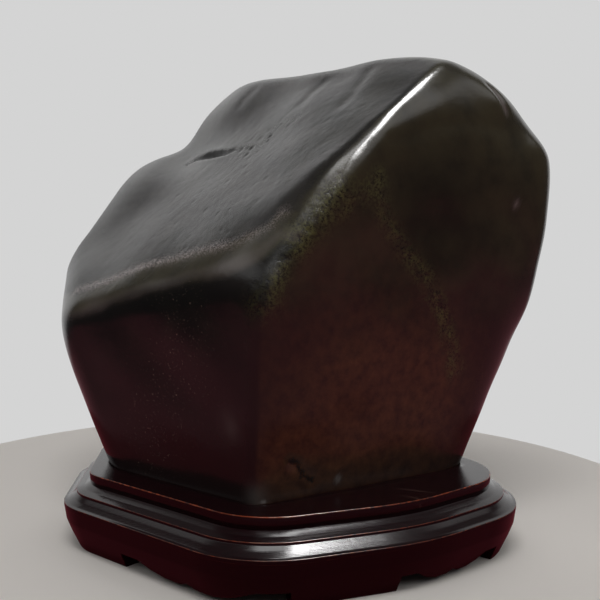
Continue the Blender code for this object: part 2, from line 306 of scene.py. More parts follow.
# The room that gloss mirrors: the axis along which a part of it changes, the two places
# between which it does, and how strongly it shows before the first and after the second.
ROOM = {
    "back_wall": ("Y", 0.46, 0.64, 0.05, 0.7),
    "ceiling_in_front": ("Y", 0.22, 0.38, 1.0, 0.0),
    "below_the_table": ("Z", -0.28, -0.1, 1.0, 0.0),
}
CEILING = {
    "lower_edge": ("Z", 0.47, 0.56, 0.0, 0.85),
    "upper_edge": ("Z", 0.66, 0.76, 0.85, 0.06),
}
BACKDROP = 0xD4D4D4
ROOM_FLOOR = 0x935961
TABLE, TABLE_IN_GLOSS = 0xF4EEE8, 0x96404A
CAMERA_PLACE = (0.0036799, -0.376294, 0.131)
CAMERA_DIP = 3.148
LENS, SENSOR_WIDTH = 48.0, 36.0


# ---------------------------------------------------------------- small tools
def linear(colour):
    """A linear colour with full alpha from an sRGB hex value such as 0x3A1012."""
    parts = np.array([colour >> 16 & 255, colour >> 8 & 255, colour & 255]) / 255
    return (*np.where(parts <= 0.04045, parts / 12.92, ((parts + 0.055) / 1.055) ** 2.4), 1.0)


def direction(bearing, pitch):
    """The unit vector of a bearing and a pitch above the horizontal."""
    bearing, pitch = np.radians((bearing, pitch))
    flat = np.cos(pitch)
    return np.array((np.cos(bearing) * flat, np.sin(bearing) * flat, np.sin(pitch)))


def smooth_step(low, high, values):
    """0 below low, 1 above high, with an easy curve between: t*t*(3-2t)."""
    share = np.clip((values - low) / (high - low), 0, 1)
    return share * share * (3 - 2 * share)


def lattice_random(cells, seed):
    """A repeatable number from 0 to 1 for each whole-numbered cell."""
    x, y, z = np.moveaxis(cells.astype(np.int64), -1, 0)
    mixed = (x * 73856093) ^ (y * 19349663) ^ (z * 83492791) ^ (seed * 2654435761)
    mixed = (mixed ^ (mixed >> 13)) * 1274126177
    mixed = (mixed ^ (mixed >> 16)) & 0xFFFFFF
    return mixed / 0xFFFFFF


def noise(points, size, seed=0):
    """Smooth noise from -1 to 1: random values on a lattice of this size, eased between."""
    scaled = points / size
    base = np.floor(scaled)
    share = scaled - base
    share = share * share * (3 - 2 * share)
    total = np.zeros(points.shape[:-1])
    for corner in np.ndindex(2, 2, 2):
        weight = np.prod(np.where(corner, share, 1 - share), axis=-1)
        total += weight * lattice_random(base + corner, seed)
    return 2 * total - 1


def layered(points, size, seed=0, layers=3):
    """Noise added to half as much noise of half the size, and so on."""
    total = sum(noise(points, size / 2**k, seed + k) / 2**k for k in range(layers))
    return total / sum(1 / 2**k for k in range(layers))


def spots(points, spacing, radius, seed=0):
    """1 in the middle of scattered round spots and 0 outside them, one spot at most a cell."""
    cell = np.floor(points / spacing)
    height = np.zeros(points.shape[:-1])
    for step in np.ndindex(3, 3, 3):
        other = cell + np.array(step) - 1
        place = np.stack([lattice_random(other, seed + k) for k in (1, 2, 3)], axis=-1)
        size = radius * (0.5 + lattice_random(other, seed + 4))
        away = np.linalg.norm(points - (other + place) * spacing, axis=-1)
        kept = lattice_random(other, seed + 5) < PIT_CHANCE
        height = np.maximum(height, kept * np.clip(1 - (away / size) ** 2, 0, 1))
    return height


def away_from_line(points, line):
    """The distance from each point to a line of straight runs."""
    line = np.array(line)
    nearest = np.full(points.shape[:-1], np.inf)
    for start, end in zip(line, line[1:]):
        run = end - start
        share = np.clip((points - start) @ run / (run @ run), 0, 1)
        nearest = np.minimum(nearest, np.linalg.norm(points - start - share[..., None] * run, axis=-1))
    return nearest


def near(points, centre, radii):
    """1 at the centre, falling off as a bell curve of these radii."""
    return np.exp(-(((points - np.array(centre)) / np.array(radii)) ** 2).sum(-1))


def clouds(points, places):
    """The sum of several bell curves, each a centre, radii and a strength."""
    return sum(strength * near(points, centre, radii) for centre, radii, strength in places)


def bell(distance, width):
    """1 at no distance, falling off as a bell curve of this half-width."""
    return np.exp(-((distance / width) ** 2))


def lines_on(points, lines, wander=0.0):
    """The strongest of several lines, each a line, a half-width and a strength."""
    return np.max([strength * bell(away_from_line(points, line) + wander, width)
                   for line, width, strength in lines], axis=0)


def lofted(rings, closed_ends):
    """Closed rings joined by quads. The first ring, and with two closed ends the last too,
    is closed by a fan of triangles on its middle point."""
    points = np.stack(rings)
    index = np.arange(points[..., 0].size).reshape(points.shape[:2])
    following = np.roll(index, -1, axis=1)
    sides = np.stack((index[:-1], index[1:], following[1:], following[:-1]), axis=-1)
    faces = sides.reshape(-1, 4).tolist()
    middles = points[[0, -1]].mean(axis=1)[:closed_ends]
    edges = ((index[0], following[0]), (following[-1], index[-1]))[:closed_ends]
    for end, edge in enumerate(edges):
        middle = np.full(index.shape[1], index.size + end)
        faces += np.column_stack((*edge, middle)).tolist()
    return np.vstack((points.reshape(-1, 3), middles)), faces


def mesh_piece(name, points, faces, surface, marks=(), sharp_angle=None):
    """An object from points in mm and faces, with a material and a number for each mark. It
    is smooth, but for arrises sharper than an angle where one is given."""
    mesh = bpy.data.meshes.new(name)
    mesh.from_pydata(((points + ORIGIN_SHIFT) * MM).tolist(), [], faces)
    mesh.update()
    mesh.shade_smooth()
    if sharp_angle:
        mesh.set_sharp_from_angle(angle=np.radians(sharp_angle))
    for mark, values in dict(marks).items():
        layer = mesh.attributes.new(mark, "FLOAT", "POINT")
        layer.data.foreach_set("value", np.asarray(values, np.float32).ravel())
    mesh.materials.append(surface)
    piece = bpy.data.objects.new(name, mesh)
    bpy.context.scene.collection.objects.link(piece)
    return piece


# ---------------------------------------------------------------- materials
# A colour mix's share, first and second colour by socket number, and its colour output.
MIX, MIXED = (0, 6, 7), 2
RANGE = ("Value", "From Min", "From Max", "To Min", "To Max")


def new_material(name, **settings):
    """A material and its shader, with these of the shader's sockets set."""
    made = bpy.data.materials.new(name)
    made.use_nodes = True
    shader = made.node_tree.nodes["Principled BSDF"]
    for socket, value in settings.items():
        shader.inputs[socket.replace("_", " ")].default_value = value
    return made, shader


def add_node(tree, kind, inputs=(), **settings):
    """Adds a node with its settings. Each input, by name or number, is a number, a colour or
    the output that feeds it."""
    node = tree.nodes.new("ShaderNode" + kind)
    for name, value in settings.items():
        setattr(node, name, value)
    for socket, value in dict(inputs).items():
        if isinstance(value, bpy.types.NodeSocket):
            tree.links.new(value, node.inputs[socket])
        else:
            node.inputs[socket].default_value = value
    return node


def polished_stone():
    """Dense black stone, ground and hand-polished, then oiled: near-black with olive and
    rust-brown minerals showing through, mirror-like on its faces, satin on its upper slope. Its colour
    also holds painted light: sheen and shade below the ridge, shade in a hollow and in the crack,
    highlights at the rim chip and the gloss streak's end, and red reflected low down."""
    stone, shader = new_material("hand_polished_black_stone", IOR=1.52, Specular_IOR_Level=0.38)
    tree = stone.node_tree
    where = add_node(tree, "TexCoord").outputs["Object"]
    names = ("olive", "warm_and_reflected_red", "vein", "rust", "pale_marks_and_sheen", "dark", "slope", "scar_and_shade", "ridge", "specks")
    mark = {name: add_node(tree, "Attribute", attribute_name=name).outputs["Fac"] for name in names}
    # Width of a lump in mm, layers and their roughness. Real grit and polishing marks are
    # finer, and are drawn as coarse as they need to show.
    noises = {
        "clouds": (14.0, 4.0, 0.55),
        "patches": (6.0, 3.0, 0.6),
        "mottle": (5.0, 4.0, 0.6),
        "polish": (3.0, 4.0, 0.55),
        "tears": (2.4, 4.0, 0.7),
        "peel": (2.2, 3.0, 0.55),
        "flecks": (1.3, 5.0, 0.8),
        "grit": (0.7, 3.0, 0.7),
    }
    pattern = {}
    for name, (size, detail, roughness) in noises.items():
        sockets = {"Vector": where, "Scale": 1 / (size * MM), "Detail": detail, "Roughness": roughness}
        pattern[name] = add_node(tree, "TexNoise", sockets).outputs["Fac"]
    # The crack's torn stone, to be darkened as painted shade: jagged where its mark and the tears add
    # up
    both = {0: mark["scar_and_shade"], 1: pattern["tears"]}
    pattern["torn"] = add_node(tree, "Math", both, operation="ADD").outputs[0]
    # The noise that each pattern comes from, the two values of it between which the pattern
    # changes, and how strong the pattern is at both
    shares = {
        "weathering": ("clouds", 0.35, 0.7, 0.0, 1.0),
        "olive_clouds": ("clouds", 0.35, 0.65, 0.55, 1.0),
        "rust_clouds": ("mottle", 0.25, 0.7, 0.2, 1.0),
        "pits": ("flecks", 0.4, 0.48, 0.9, 0.0),
        "speckles": ("flecks", 0.44, 0.56, 0.0, 1.0),
        "patchy": ("patches", 0.4, 0.57, 0.15, 1.0),
        "grains": ("grit", 0.42, 0.66, 0.0, 1.0),
        "dots": ("flecks", 0.62, 0.68, 0.0, 1.0),
        "scar_and_shade": ("torn", 0.9, 1.06, 0.0, 1.0),
    }
    for name, (source, *limits) in shares.items():
        sockets = zip(RANGE, (pattern[source], *limits))
        pattern[name] = add_node(tree, "MapRange", sockets).outputs["Result"]
    both = {0: pattern["speckles"], 1: pattern["patchy"]}
    speckles = add_node(tree, "Math", both, operation="MULTIPLY").outputs[0]
    # Colours under the polish, each laid over the last: where, how strongly, colour. Some are painted
    # light, as marked.
    base = linear(0x1B1917)
    for shown, strength, colour in (
        (pattern["weathering"], 1.0, 0x2B2721),
        (mark["olive"], pattern["olive_clouds"], 0x423E2D),
        # red-brown low down: stone tone with a painted reflection of red from below
        (mark["warm_and_reflected_red"], 0.85, 0x241819),
        (mark["rust"], pattern["rust_clouds"], 0x5C3D2A),
        (mark["vein"], pattern["pits"], 0x12110D),
        (mark["vein"], speckles, 0x5E6038),
        # pale: a white dot, lint and a smudge, with painted sheen, a painted glint and a painted
        # rim-chip highlight
        (mark["pale_marks_and_sheen"], 1.0, 0x77706C),
        # near-black: painted shade on the left face below the ridge and over the right face's hollow
        (mark["dark"], 1.0, 0x0C0B0B),
        # pale grains on the ridge, and painted highlight grains at the gloss streak's end
        (mark["ridge"], pattern["grains"], 0xC8BCB8),
        (mark["specks"], pattern["dots"], 0xC0AC98),
        # near-black: painted shade in the crack, the cavity and the chatter
        (pattern["scar_and_shade"], 1.0, 0x0D0B09),
    ):
        share = add_node(tree, "Math", {0: shown, 1: strength}, operation="MULTIPLY").outputs[0]
        sockets = zip(MIX, (share, base, linear(colour)))
        base = add_node(tree, "Mix", sockets, data_type="RGBA").outputs[MIXED]
    tree.links.new(base, shader.inputs["Base Color"])
    # Glossy faces, with a satin slope and duller stone in the vein and the crack
    rough = 0.16
    for source, extra in (
        (mark["slope"], 0.06),
        (mark["vein"], 0.04),
        (pattern["scar_and_shade"], 0.15),
        (pattern["polish"], 0.06),
    ):
        sockets = {0: source, 1: extra, 2: rough}
        rough = add_node(tree, "Math", sockets, operation="MULTIPLY_ADD").outputs[0]
    tree.links.new(rough, shader.inputs["Roughness"])
    # Polishing orange-peel, grit on the slope and the ridge, and rough minerals in the vein
    sockets = {"Strength": 0.25, "Distance": 0.2 * MM, "Height": pattern["peel"]}
    peel = add_node(tree, "Bump", sockets).outputs["Normal"]
    sockets = {0: mark["vein"], 1: pattern["flecks"]}
    minerals = add_node(tree, "Math", sockets, operation="MULTIPLY").outputs[0]
    sockets = {0: mark["ridge"], 1: mark["slope"]}
    gritty = add_node(tree, "Math", sockets, operation="MAXIMUM").outputs[0]
    gritty = add_node(tree, "Math", {0: gritty, 1: 0.4}, operation="MULTIPLY").outputs[0]
    sockets = {0: gritty, 1: pattern["grit"], 2: minerals}
    raised = add_node(tree, "Math", sockets, operation="MULTIPLY_ADD").outputs[0]
    sockets = {"Strength": 0.5, "Distance": 0.4 * MM, "Height": raised, "Normal": peel}
    tree.links.new(add_node(tree, "Bump", sockets).outputs["Normal"], shader.inputs["Normal"])
    return stone


def lacquered_wood():
    """Hardwood turned dark maroon by many coats of glossy lacquer, rubbed through to
    orange-brown along its arrises, with the wood's grain telegraphing faintly, and its rubbed front
    corner painted pale pink, partly as a painted highlight."""
    wood, shader = new_material("lacquered_hardwood", Roughness=0.19, IOR=1.5,
                                Specular_IOR_Level=0.4)
    tree = wood.node_tree
    where = add_node(tree, "TexCoord").outputs["Object"]
    names = ("wear", "rubbed", "split", "scratch")
    mark = {name: add_node(tree, "Attribute", attribute_name=name).outputs["Fac"] for name in names}
    # Grain runs along X. Its pores are finer on real wood, and are drawn wide enough to show.
    along = add_node(tree, "Mapping", {"Vector": where, "Scale": (0.03, 1.0, 1.0)}).outputs["Vector"]
    # The coordinates, width of a lump in mm, layers and their roughness
    noises = {
        "grain": (along, 1.0, 4.0, 0.6),
        "clouds": (where, 12.0, 3.0, 0.55),
        "flakes": (where, 2.5, 4.0, 0.55),
        "wipes": (where, 6.0, 2.0, 0.55),
    }
    pattern = {}
    for name, (place, size, detail, roughness) in noises.items():
        sockets = {"Vector": place, "Scale": 1 / (size * MM), "Detail": detail, "Roughness": roughness}
        pattern[name] = add_node(tree, "TexNoise", sockets).outputs["Fac"]
    shares = {
        "figure": ("grain", 0.35, 0.7, 0.0, 1.0),
        "depth": ("clouds", 0.4, 0.75, 0.0, 0.5),
        "broken": ("flakes", 0.4, 0.7, 0.12, 1.0),
        "pale": ("wipes", 0.45, 0.6, 0.0, 0.8),
    }
    for name, (source, *limits) in shares.items():
        sockets = zip(RANGE, (pattern[source], *limits))
        pattern[name] = add_node(tree, "MapRange", sockets).outputs["Result"]
    sockets = {0: pattern["broken"], 1: mark["rubbed"]}
    worn = add_node(tree, "Math", sockets, operation="MAXIMUM").outputs[0]
    sockets = {0: mark["rubbed"], 1: mark["wear"]}
    pale_rub_and_highlight = add_node(tree, "Math", sockets, operation="MULTIPLY").outputs[0]
    # Colours under the lacquer, each laid over the last: where, how strongly, colour. The pale pink is
    # partly a painted highlight.
    base = linear(0x160508)
    for shown, strength, colour in (
        (pattern["figure"], 1.0, 0x20070C),
        (pattern["depth"], 1.0, 0x170507),
        (mark["wear"], worn, 0xA8481F),
        # pale pink on the rubbed front corner: worn lacquer with a painted highlight
        (pale_rub_and_highlight, pattern["pale"], 0xC9A08A),
        (mark["split"], 1.0, 0x080304),
        (mark["scratch"], 1.0, 0x8A6A60),
    ):
        share = add_node(tree, "Math", {0: shown, 1: strength}, operation="MULTIPLY").outputs[0]
        sockets = zip(MIX, (share, base, linear(colour)))
        base = add_node(tree, "Mix", sockets, data_type="RGBA").outputs[MIXED]
    tree.links.new(base, shader.inputs["Base Color"])
    sockets = {"Strength": 0.3, "Distance": 0.15 * MM, "Height": pattern["grain"]}
    tree.links.new(add_node(tree, "Bump", sockets).outputs["Normal"], shader.inputs["Normal"])
    return wood


# ---------------------------------------------------------------- the stone
def rounded_max(first, second, width):
    """The greater of two distances, plus the square of what their difference falls short of
    the width by, over four widths: it rounds the corner where they meet."""
    blend = np.maximum(width - np.abs(first - second), 0.0)
    return np.maximum(first, second) + blend * blend / (4.0 * width)


def ripples(points):
    """Long low waves, one set for each wavelength, each turned by the golden angle."""
    total = np.zeros(points.shape[:-1])
    for turn, length in enumerate(RIPPLE_LENGTHS):
        for axis in range(3):
            heading = direction(GOLDEN_ANGLE * (3 * turn + axis), RIPPLE_PITCH * (axis - 1))
            total += np.sin(2 * np.pi * (points @ heading) / length + turn + 2 * axis)
    return RIPPLE_HEIGHT * total


def stone_distance(points):
    """How far points lie outside the stone's skin, in mm, and below zero inside: the rounded
    greatest of the distances beyond each facet, less the swells and the ripples."""
    from_heart = points - HEART
    distance = None
    for bearing, pitch, reach, width in FACETS.values():
        beyond = from_heart @ direction(bearing, pitch) - reach
        distance = beyond if distance is None else rounded_max(distance, beyond, width)
    for centre, radii, height in SWELLS.values():
        distance = distance - height * near(points, centre, radii)
    return distance - ripples(points)


def reach_to_skin(origin, headings, farthest, clearance=0.0):
    """The distance from the origin along each heading at which the stone's skin is met."""
    low = np.zeros(len(headings))
    high = np.full(len(headings), farthest)
    for _ in range(SOLVE_STEPS):
        middle = (low + high) / 2
        inside = stone_distance(origin + middle[:, None] * headings) < clearance
        low = np.where(inside, middle, low)
        high = np.where(inside, high, middle)
    return low


def outward(points, step=0.2):
    """The skin's outward unit normals: the distance's slope along each axis."""
    shifts = np.eye(3) * step
    slopes = [stone_distance(points + shift) - stone_distance(points - shift) for shift in shifts]
    normals = np.stack(slopes, axis=-1)
    return normals / np.linalg.norm(normals, axis=-1, keepdims=True)


def cube_sphere(cells):
    """Unit headings on a cube's six gridded sides, spread evenly by tan(side * pi / 4), and
    the quads that join them, with the sides' shared edges made one."""
    side = np.arange(cells + 1) * 2 - cells
    u, v = np.meshgrid(side, side, indexing="ij")
    points, quads = [], []
    index = np.arange((cells + 1) ** 2).reshape(cells + 1, cells + 1)
    ring = np.stack((index[:-1, :-1], index[1:, :-1], index[1:, 1:], index[:-1, 1:]), axis=-1)
    for axis in range(3):
        for sign in (-1, 1):
            face = np.empty((cells + 1, cells + 1, 3), int)
            face[..., axis] = sign * cells
            face[..., (axis + 1) % 3] = u
            face[..., (axis + 2) % 3] = v
            outside = ring if sign > 0 else ring[..., ::-1]
            quads.append(outside.reshape(-1, 4) + len(points) * index.size)
            points.append(face.reshape(-1, 3))
    corners, shared = np.unique(np.concatenate(points), axis=0, return_inverse=True)
    headings = np.tan(corners / cells * np.pi / 4)
    headings /= np.linalg.norm(headings, axis=1, keepdims=True)
    return headings, shared.reshape(-1)[np.concatenate(quads)]


def stone_relief(points, marks):
    """How far the worked surface stands above the main form, in mm: the crack's lips and the
    lumps of each mark, less the crack, the grooves and the pits."""
    middle = near(points, *CRACK_MIDDLE)
    from_crack = away_from_line(points, CRACK)
    depth = CRACK_DEPTH_AT_ENDS + (CRACK_DEPTH - CRACK_DEPTH_AT_ENDS) * middle
    width = CRACK_WIDTH_AT_ENDS + (CRACK_WIDTH - CRACK_WIDTH_AT_ENDS) * middle
    height = LIP_HEIGHT * middle * bell(from_crack - LIP_PLACE, LIP_WIDTH)
    height -= depth * bell(from_crack + CRACK_WANDER * layered(points, *CRACK_BEND), width)
    for lines, depth, width, wander, bend, seed in GROOVES.values():
        wobble = wander * layered(points, bend, seed)
        for line in lines:
            height -= depth * bell(away_from_line(points, line) + wobble, width)
    pitted = marks["slope"] * (PITTED_ELSEWHERE + near(points, *PITTED_PLACE))
    extent = {
        **marks,
        "chatter": bell(away_from_line(points, CHATTER), CHATTER_WIDTH),
        "pitted": np.clip(pitted, 0, 1),
        "everywhere": 1.0,
    }
    for mark, (depth, spacing, radius, seed) in PITS.items():
        height -= depth * extent[mark] * spots(points, spacing, radius, seed)
    for mark, rise, size, seed in LUMPS:
        height += rise * extent[mark] * layered(points, size, seed)
    return height


def facing(normals, facet, start, full):
    """1 where the skin faces as a facet does and 0 where it turns away, eased between two
    cosines of the angle between them."""
    return smooth_step(start, full, normals @ direction(*FACETS[facet][:2]))


def stone_marks(points, normals):
    """How strongly each mineral and finish shows at each point, from 0 to 1."""
    height = points[:, 2]
    wobble = layered(points, *MARK_BEND)
    right = facing(normals, "right_front", *FACE_FACING)
    left = facing(normals, "left_front", *FACE_FACING)
    leftward = facing(normals, "left_front", *LEFTWARD_FACING)
    # Bands that follow the ridge between the slope and the left face: painted sheen and painted shade
    ridge_x, _, ridge_height = np.array(RIDGE).T
    drop = np.interp(points[:, 0], ridge_x, ridge_height) - height + wobble
    band = {}
    for name, (start, full, fading, gone, strength, wander) in SHEEN_AND_SHADE_BANDS.items():
        faded = smooth_step(fading, gone, drop + wander * wobble)
        band[name] = strength * leftward * smooth_step(start, full, drop) * (1 - faded)
    past_ridge = leftward * smooth_step(*SHEEN_AND_SHADE_BANDS["brow"][:2], drop)
    slope = facing(normals, "slope", *SLOPE_FACING) * (1 - past_ridge)
    # Red-brown low down, partly a painted reflection of red from below
    warm_and_reflected_red = 1 - smooth_step(*WARM_HEIGHTS, height + WARM_WANDER * wobble)
    warm_and_reflected_red = warm_and_reflected_red * (1 - slope) * (1 - band["brow"])
    olive = smooth_step(*OLIVE_HEIGHTS, height + OLIVE_WANDER * wobble)
    # on the brow the olive also holds a painted sheen
    olive = np.maximum(olive * np.maximum(right, 1 - slope), band["brow"])
    smudge = SMUDGE_STRENGTH * near(points, *SMUDGE) * (0.5 + 0.5 * wobble)
    # painted highlight along the rim chip
    painted_chip_highlight = CHIP_HIGHLIGHT * bell(away_from_line(points, RIM_CHIP), CHIP_HIGHLIGHT_WIDTH)
    ragged = away_from_line(points, RIDGE) + RIDGE_WANDER * layered(points, *RIDGE_BEND)
    # painted highlight grains where the gloss streak ends
    painted_streak_glints = STREAK_STRENGTH * bell(away_from_line(points, STREAK), STREAK_WIDTH)
    # darker in the crack as painted shade in its hollow, most in its middle
    middle = near(points, *CRACK_MIDDLE)
    torn = bell(away_from_line(points, CRACK), CRACK_SCAR_WIDTH)
    torn = torn * (CRACK_SCAR_AT_ENDS + (1 - CRACK_SCAR_AT_ENDS) * middle)
    marks = {
        "slope": slope,
        "vein": lines_on(points, VEINS, VEIN_WANDER * wobble),
        "warm_and_reflected_red": warm_and_reflected_red,
        "olive": olive * (1 - warm_and_reflected_red),
        "rust": right * clouds(points, RUST_CLOUDS),
        # pale marks, with painted sheen below the ridge, a painted glint and the painted rim-chip
        # highlight
        "pale_marks_and_sheen": clouds(points, PALE_SPOTS_AND_GLINT) + band["pale_marks_and_sheen"] + smudge + painted_chip_highlight,
        # painted shade on the left face and over the right face's hollow
        "dark": np.maximum(band["dark"], right * clouds(points, PAINTED_SHADE_CLOUDS)),
        # painted shade in the crack, the cavity and the chatter
        "scar_and_shade": np.maximum(torn, lines_on(points, SCARS)),
        # ridge grains, and painted highlight grains at the gloss streak's end
        "ridge": np.maximum(bell(ragged, RIDGE_WIDTH), painted_streak_glints),
        "specks": left * clouds(points, SPECK_CLOUDS),
    }
    return {name: np.clip(values, 0, 1) for name, values in marks.items()}


def make_stone(surface):
    """The stone's skin: each heading's reach from the heart, cut flat at the foot, and moved
    along its normal by the relief."""
    headings, faces = cube_sphere(STONE_GRID)
    reach = reach_to_skin(HEART, headings, FARTHEST_SKIN)
    downward = np.minimum(headings[:, 2], ALMOST_LEVEL)
    reach = np.minimum(reach, (STONE_FOOT - HEART[2]) / downward)
    points = HEART + reach[:, None] * headings
    normals = outward(points)
    marks = stone_marks(points, normals)
    above = smooth_step(STONE_FOOT + RELIEF_START, STONE_FOOT + RELIEF_FULL, points[:, 2])
    points = points + (stone_relief(points, marks) * above)[:, None] * normals
    points[:, 2] = np.maximum(points[:, 2], STONE_FOOT)
    return mesh_piece("stone_skin", points, faces.tolist(), surface, marks)


# ---------------------------------------------------------------- the stand
def plan_line():
    """Points closely spaced along the seat board's upper edge, with their outward normals.
    Each corner is an arc of its radius, and straight runs join the arcs."""
    places = np.array([corner[:2] for corner in CORNERS.values()])
    points, normals = [], []
    for index, (*_, radius) in enumerate(CORNERS.values()):
        corner = places[index]
        before = corner - places[index - 1]
        after = places[(index + 1) % len(places)] - corner
        start, end = (np.arctan2(-run[0], run[1]) for run in (before, after))
        turn = (end - start) % (2 * np.pi)
        bisector = np.array((np.cos(start + turn / 2), np.sin(start + turn / 2)))
        centre = corner - bisector * radius / np.cos(turn / 2)
        angles = start + np.linspace(0, 1, ARC_POINTS) * turn
        arc = np.column_stack((np.cos(angles), np.sin(angles)))
        normals.append(arc)
        points.append(centre + radius * arc)
    return np.concatenate(points), np.concatenate(normals)


class Plan:
    """The plan line as a closed curve, read by the distance along it."""

    def __init__(self):
        points, normals = plan_line()
        self.points = np.vstack((points, points[:1]))
        self.normals = np.vstack((normals, normals[:1]))
        runs = np.linalg.norm(np.diff(self.points, axis=0), axis=1)
        self.along = np.concatenate(((0.0,), np.cumsum(runs)))
        self.length = self.along[-1]

    def read(self, table, places):
        columns = [np.interp(places, self.along, column) for column in table.T]
        return np.stack(columns, axis=1)

    def ring(self, places, offsets, heights):
        """Points at these distances along the line, moved outward and set at these heights."""
        normals = self.read(self.normals, places)
        normals /= np.linalg.norm(normals, axis=1, keepdims=True)
        flat = self.read(self.points, places) + normals * np.reshape(offsets, (-1, 1))
        return np.column_stack((flat, np.broadcast_to(heights, len(places))))

    def place_at(self, bearing):
        """How far along the line the point of this bearing from the plan's middle lies."""
        spokes = self.points - np.array(PLAN_MIDDLE)
        bearings = np.unwrap(np.arctan2(spokes[:, 1], spokes[:, 0]))
        first = bearings[0]
        wanted = first + (np.radians(bearing) - first) % (2 * np.pi)
        return np.interp(wanted, bearings, self.along)


def openings(plan):
    """The start and the length of each opening between two feet, along the plan line."""
    feet = [[plan.place_at(bearing) for bearing in span] for span in FEET.values()]
    spans = []
    for index, (_, end) in enumerate(feet):
        following = feet[(index + 1) % len(feet)][0]
        spans.append((end, (following - end) % plan.length))
    return spans


def apron_edge(plan, places):
    """The height of the apron's lower edge: zero on the feet, scalloped over each opening."""
    heights = np.zeros(len(places))
    for start, length in openings(plan):
        inside = (places - start) % plan.length
        from_foot = np.minimum(inside, length - inside)
        share = from_foot / (length / 2)
        scallop = np.interp(
            share,
            (POCKET_END, (POCKET_END + PENDANT_START) / 2, PENDANT_START, NOTCH_START, 1.0),
            (POCKET_HEIGHT, POCKET_MIDSLOPE, PENDANT_HEIGHT, PENDANT_HEIGHT, NOTCH_HEIGHT),
        )
        step = np.clip(from_foot / STEP_WIDTH, 0, 1)
        heights = np.where(inside < length, scallop * step, heights)
    return heights


def stations(plan):
    """Distances along the plan line: evenly spaced, with more where the apron's edge turns."""
    turns = []
    for start, length in openings(plan):
        for side in (0, POCKET_END, PENDANT_START, NOTCH_START, 1, 2 - NOTCH_START,
                     2 - PENDANT_START, 2 - POCKET_END, 2):
            turns.append(start + side * length / 2)
        turns += [start + STEP_WIDTH, start + length - STEP_WIDTH]
    turns = np.unique(np.round(np.array(turns) % plan.length, 3))
    even = np.arange(0, plan.length, STATION_SPACING)
    gaps = np.abs(even[:, None] - turns[None, :])
    gaps = np.minimum(gaps, plan.length - gaps).min(axis=1)
    return np.sort(np.concatenate((even[gaps > STATION_SPACING / 4], turns)))


def filleted(profile):
    """The profile with a curve for each turn: rows of offset, height and wear. The curve is
    the parabola that leaves one side and joins the other at equal distances from the turn."""
    rows = [(*profile[0][:2], profile[0][3])]
    for before, (x, y, radius, wear), after in zip(profile, profile[1:], profile[2:]):
        corner = np.array((x, y))
        back, forward = np.array(before[:2]) - corner, np.array(after[:2]) - corner
        reach_back, reach_on = np.linalg.norm(back), np.linalg.norm(forward)
        back, forward = back / reach_back, forward / reach_on
        half = np.arccos(np.clip(back @ forward, -1, 1)) / 2
        cut = min(radius / np.tan(half), LONGEST_FILLET * min(reach_back, reach_on))
        for share in np.linspace(0, 1, FILLET_POINTS):
            first = corner + back * cut * (1 - share)
            second = corner + forward * cut * share
            place = first * (1 - share) + second * share
            rows.append((*place, wear * np.sin(np.pi * share)))
    rows.append((*profile[-1][:2], profile[-1][3]))
    return rows


def recess_ring(plan, places, height, inset=0.0):
    """The recess's wall at this height: the stone's outline where it enters the seat board."""
    middle = np.array((*PLAN_MIDDLE, SEAT_TOP))
    spokes = plan.ring(places, 0.0, SEAT_TOP) - middle
    spokes /= np.linalg.norm(spokes, axis=1, keepdims=True)
    reach = reach_to_skin(middle, spokes, RECESS_REACH, RECESS_CLEARANCE)
    outline = middle + (reach + inset)[:, None] * spokes
    outline[:, 2] = height
    return outline


def wood_piece(name, rings, wears, surface):
    """A closed solid of wood: its rings lofted, with each ring's wear and, for the whole stand,
    the rubbed front corner with its painted highlight, a split in the apron and a hair scratch across
    the seat."""
    points, faces = lofted(rings, closed_ends=2)
    marks = {
        "wear": np.concatenate((np.repeat(wears, len(rings[0])), (0, 0))),
        "rubbed": near(points, *RUBBED_AND_HIGHLIT_CORNER),
        "split": bell(away_from_line(points, SPLIT), SPLIT_WIDTH),
        "scratch": SCRATCH_STRENGTH * bell(away_from_line(points, SCRATCH), SCRATCH_WIDTH),
    }
    return mesh_piece(name, points, faces, surface, marks, SHARP_ANGLE)


def make_seat_board(plan, places, surface):
    """The seat board's skin: its edge profile carried along the plan line, then rings that run
    in over the seat to the recess's rim and down its wall."""
    rows = filleted(SEAT_PROFILE)
    rings = [plan.ring(places, offset, height) for offset, height, _ in rows]
    wears = [wear for *_, wear in rows]
    rim, *wall = [(recess_ring(plan, places, SEAT_TOP - depth, inset), wear)
                  for depth, inset, wear in RECESS_PROFILE]
    outer = rings[-1]
    for share in SEAT_SHARES:
        rings.append(outer * (1 - share) + rim[0] * share)
        wears.append(rim[1])
    for ring, wear in wall:
        rings.append(ring)
        wears.append(wear)
    return wood_piece("seat_board_skin", rings[::-1], wears[::-1], surface)


def make_stand_base(plan, places, surface):
    """The base's skin: the mouldings' profile carried along the plan line, then rings that run
    down to the apron's scalloped edge, under it and up inside."""
    edge = apron_edge(plan, places)
    knee_offset, knee_height = APRON_KNEE
    edge_offset = np.interp(edge, (0.0, knee_height), (APRON_FOOT_OFFSET, knee_offset))
    rows = filleted((*BASE_PROFILE, (knee_offset, knee_height, 0.0, 0.0)))
    rings = [plan.ring(places, offset, height) for offset, height, _ in rows]
    wears = [wear for *_, wear in rows]
    for share in APRON_SHARES:
        offsets = knee_offset * (1 - share) + edge_offset * share
        heights = knee_height * (1 - share) + edge * share
        rings.append(plan.ring(places, offsets, heights))
        wears.append(0.0)
    for inward, rise, wear in APRON_ARRIS:
        rings.append(plan.ring(places, edge_offset - inward, edge + rise * (edge > 0)))
        wears.append(wear)
    for height in (edge, UNDERSIDE):
        rings.append(plan.ring(places, APRON_FOOT_OFFSET - APRON_THICKNESS, height))
        wears.append(0.0)
    return wood_piece("stand_base_skin", rings, wears, surface)


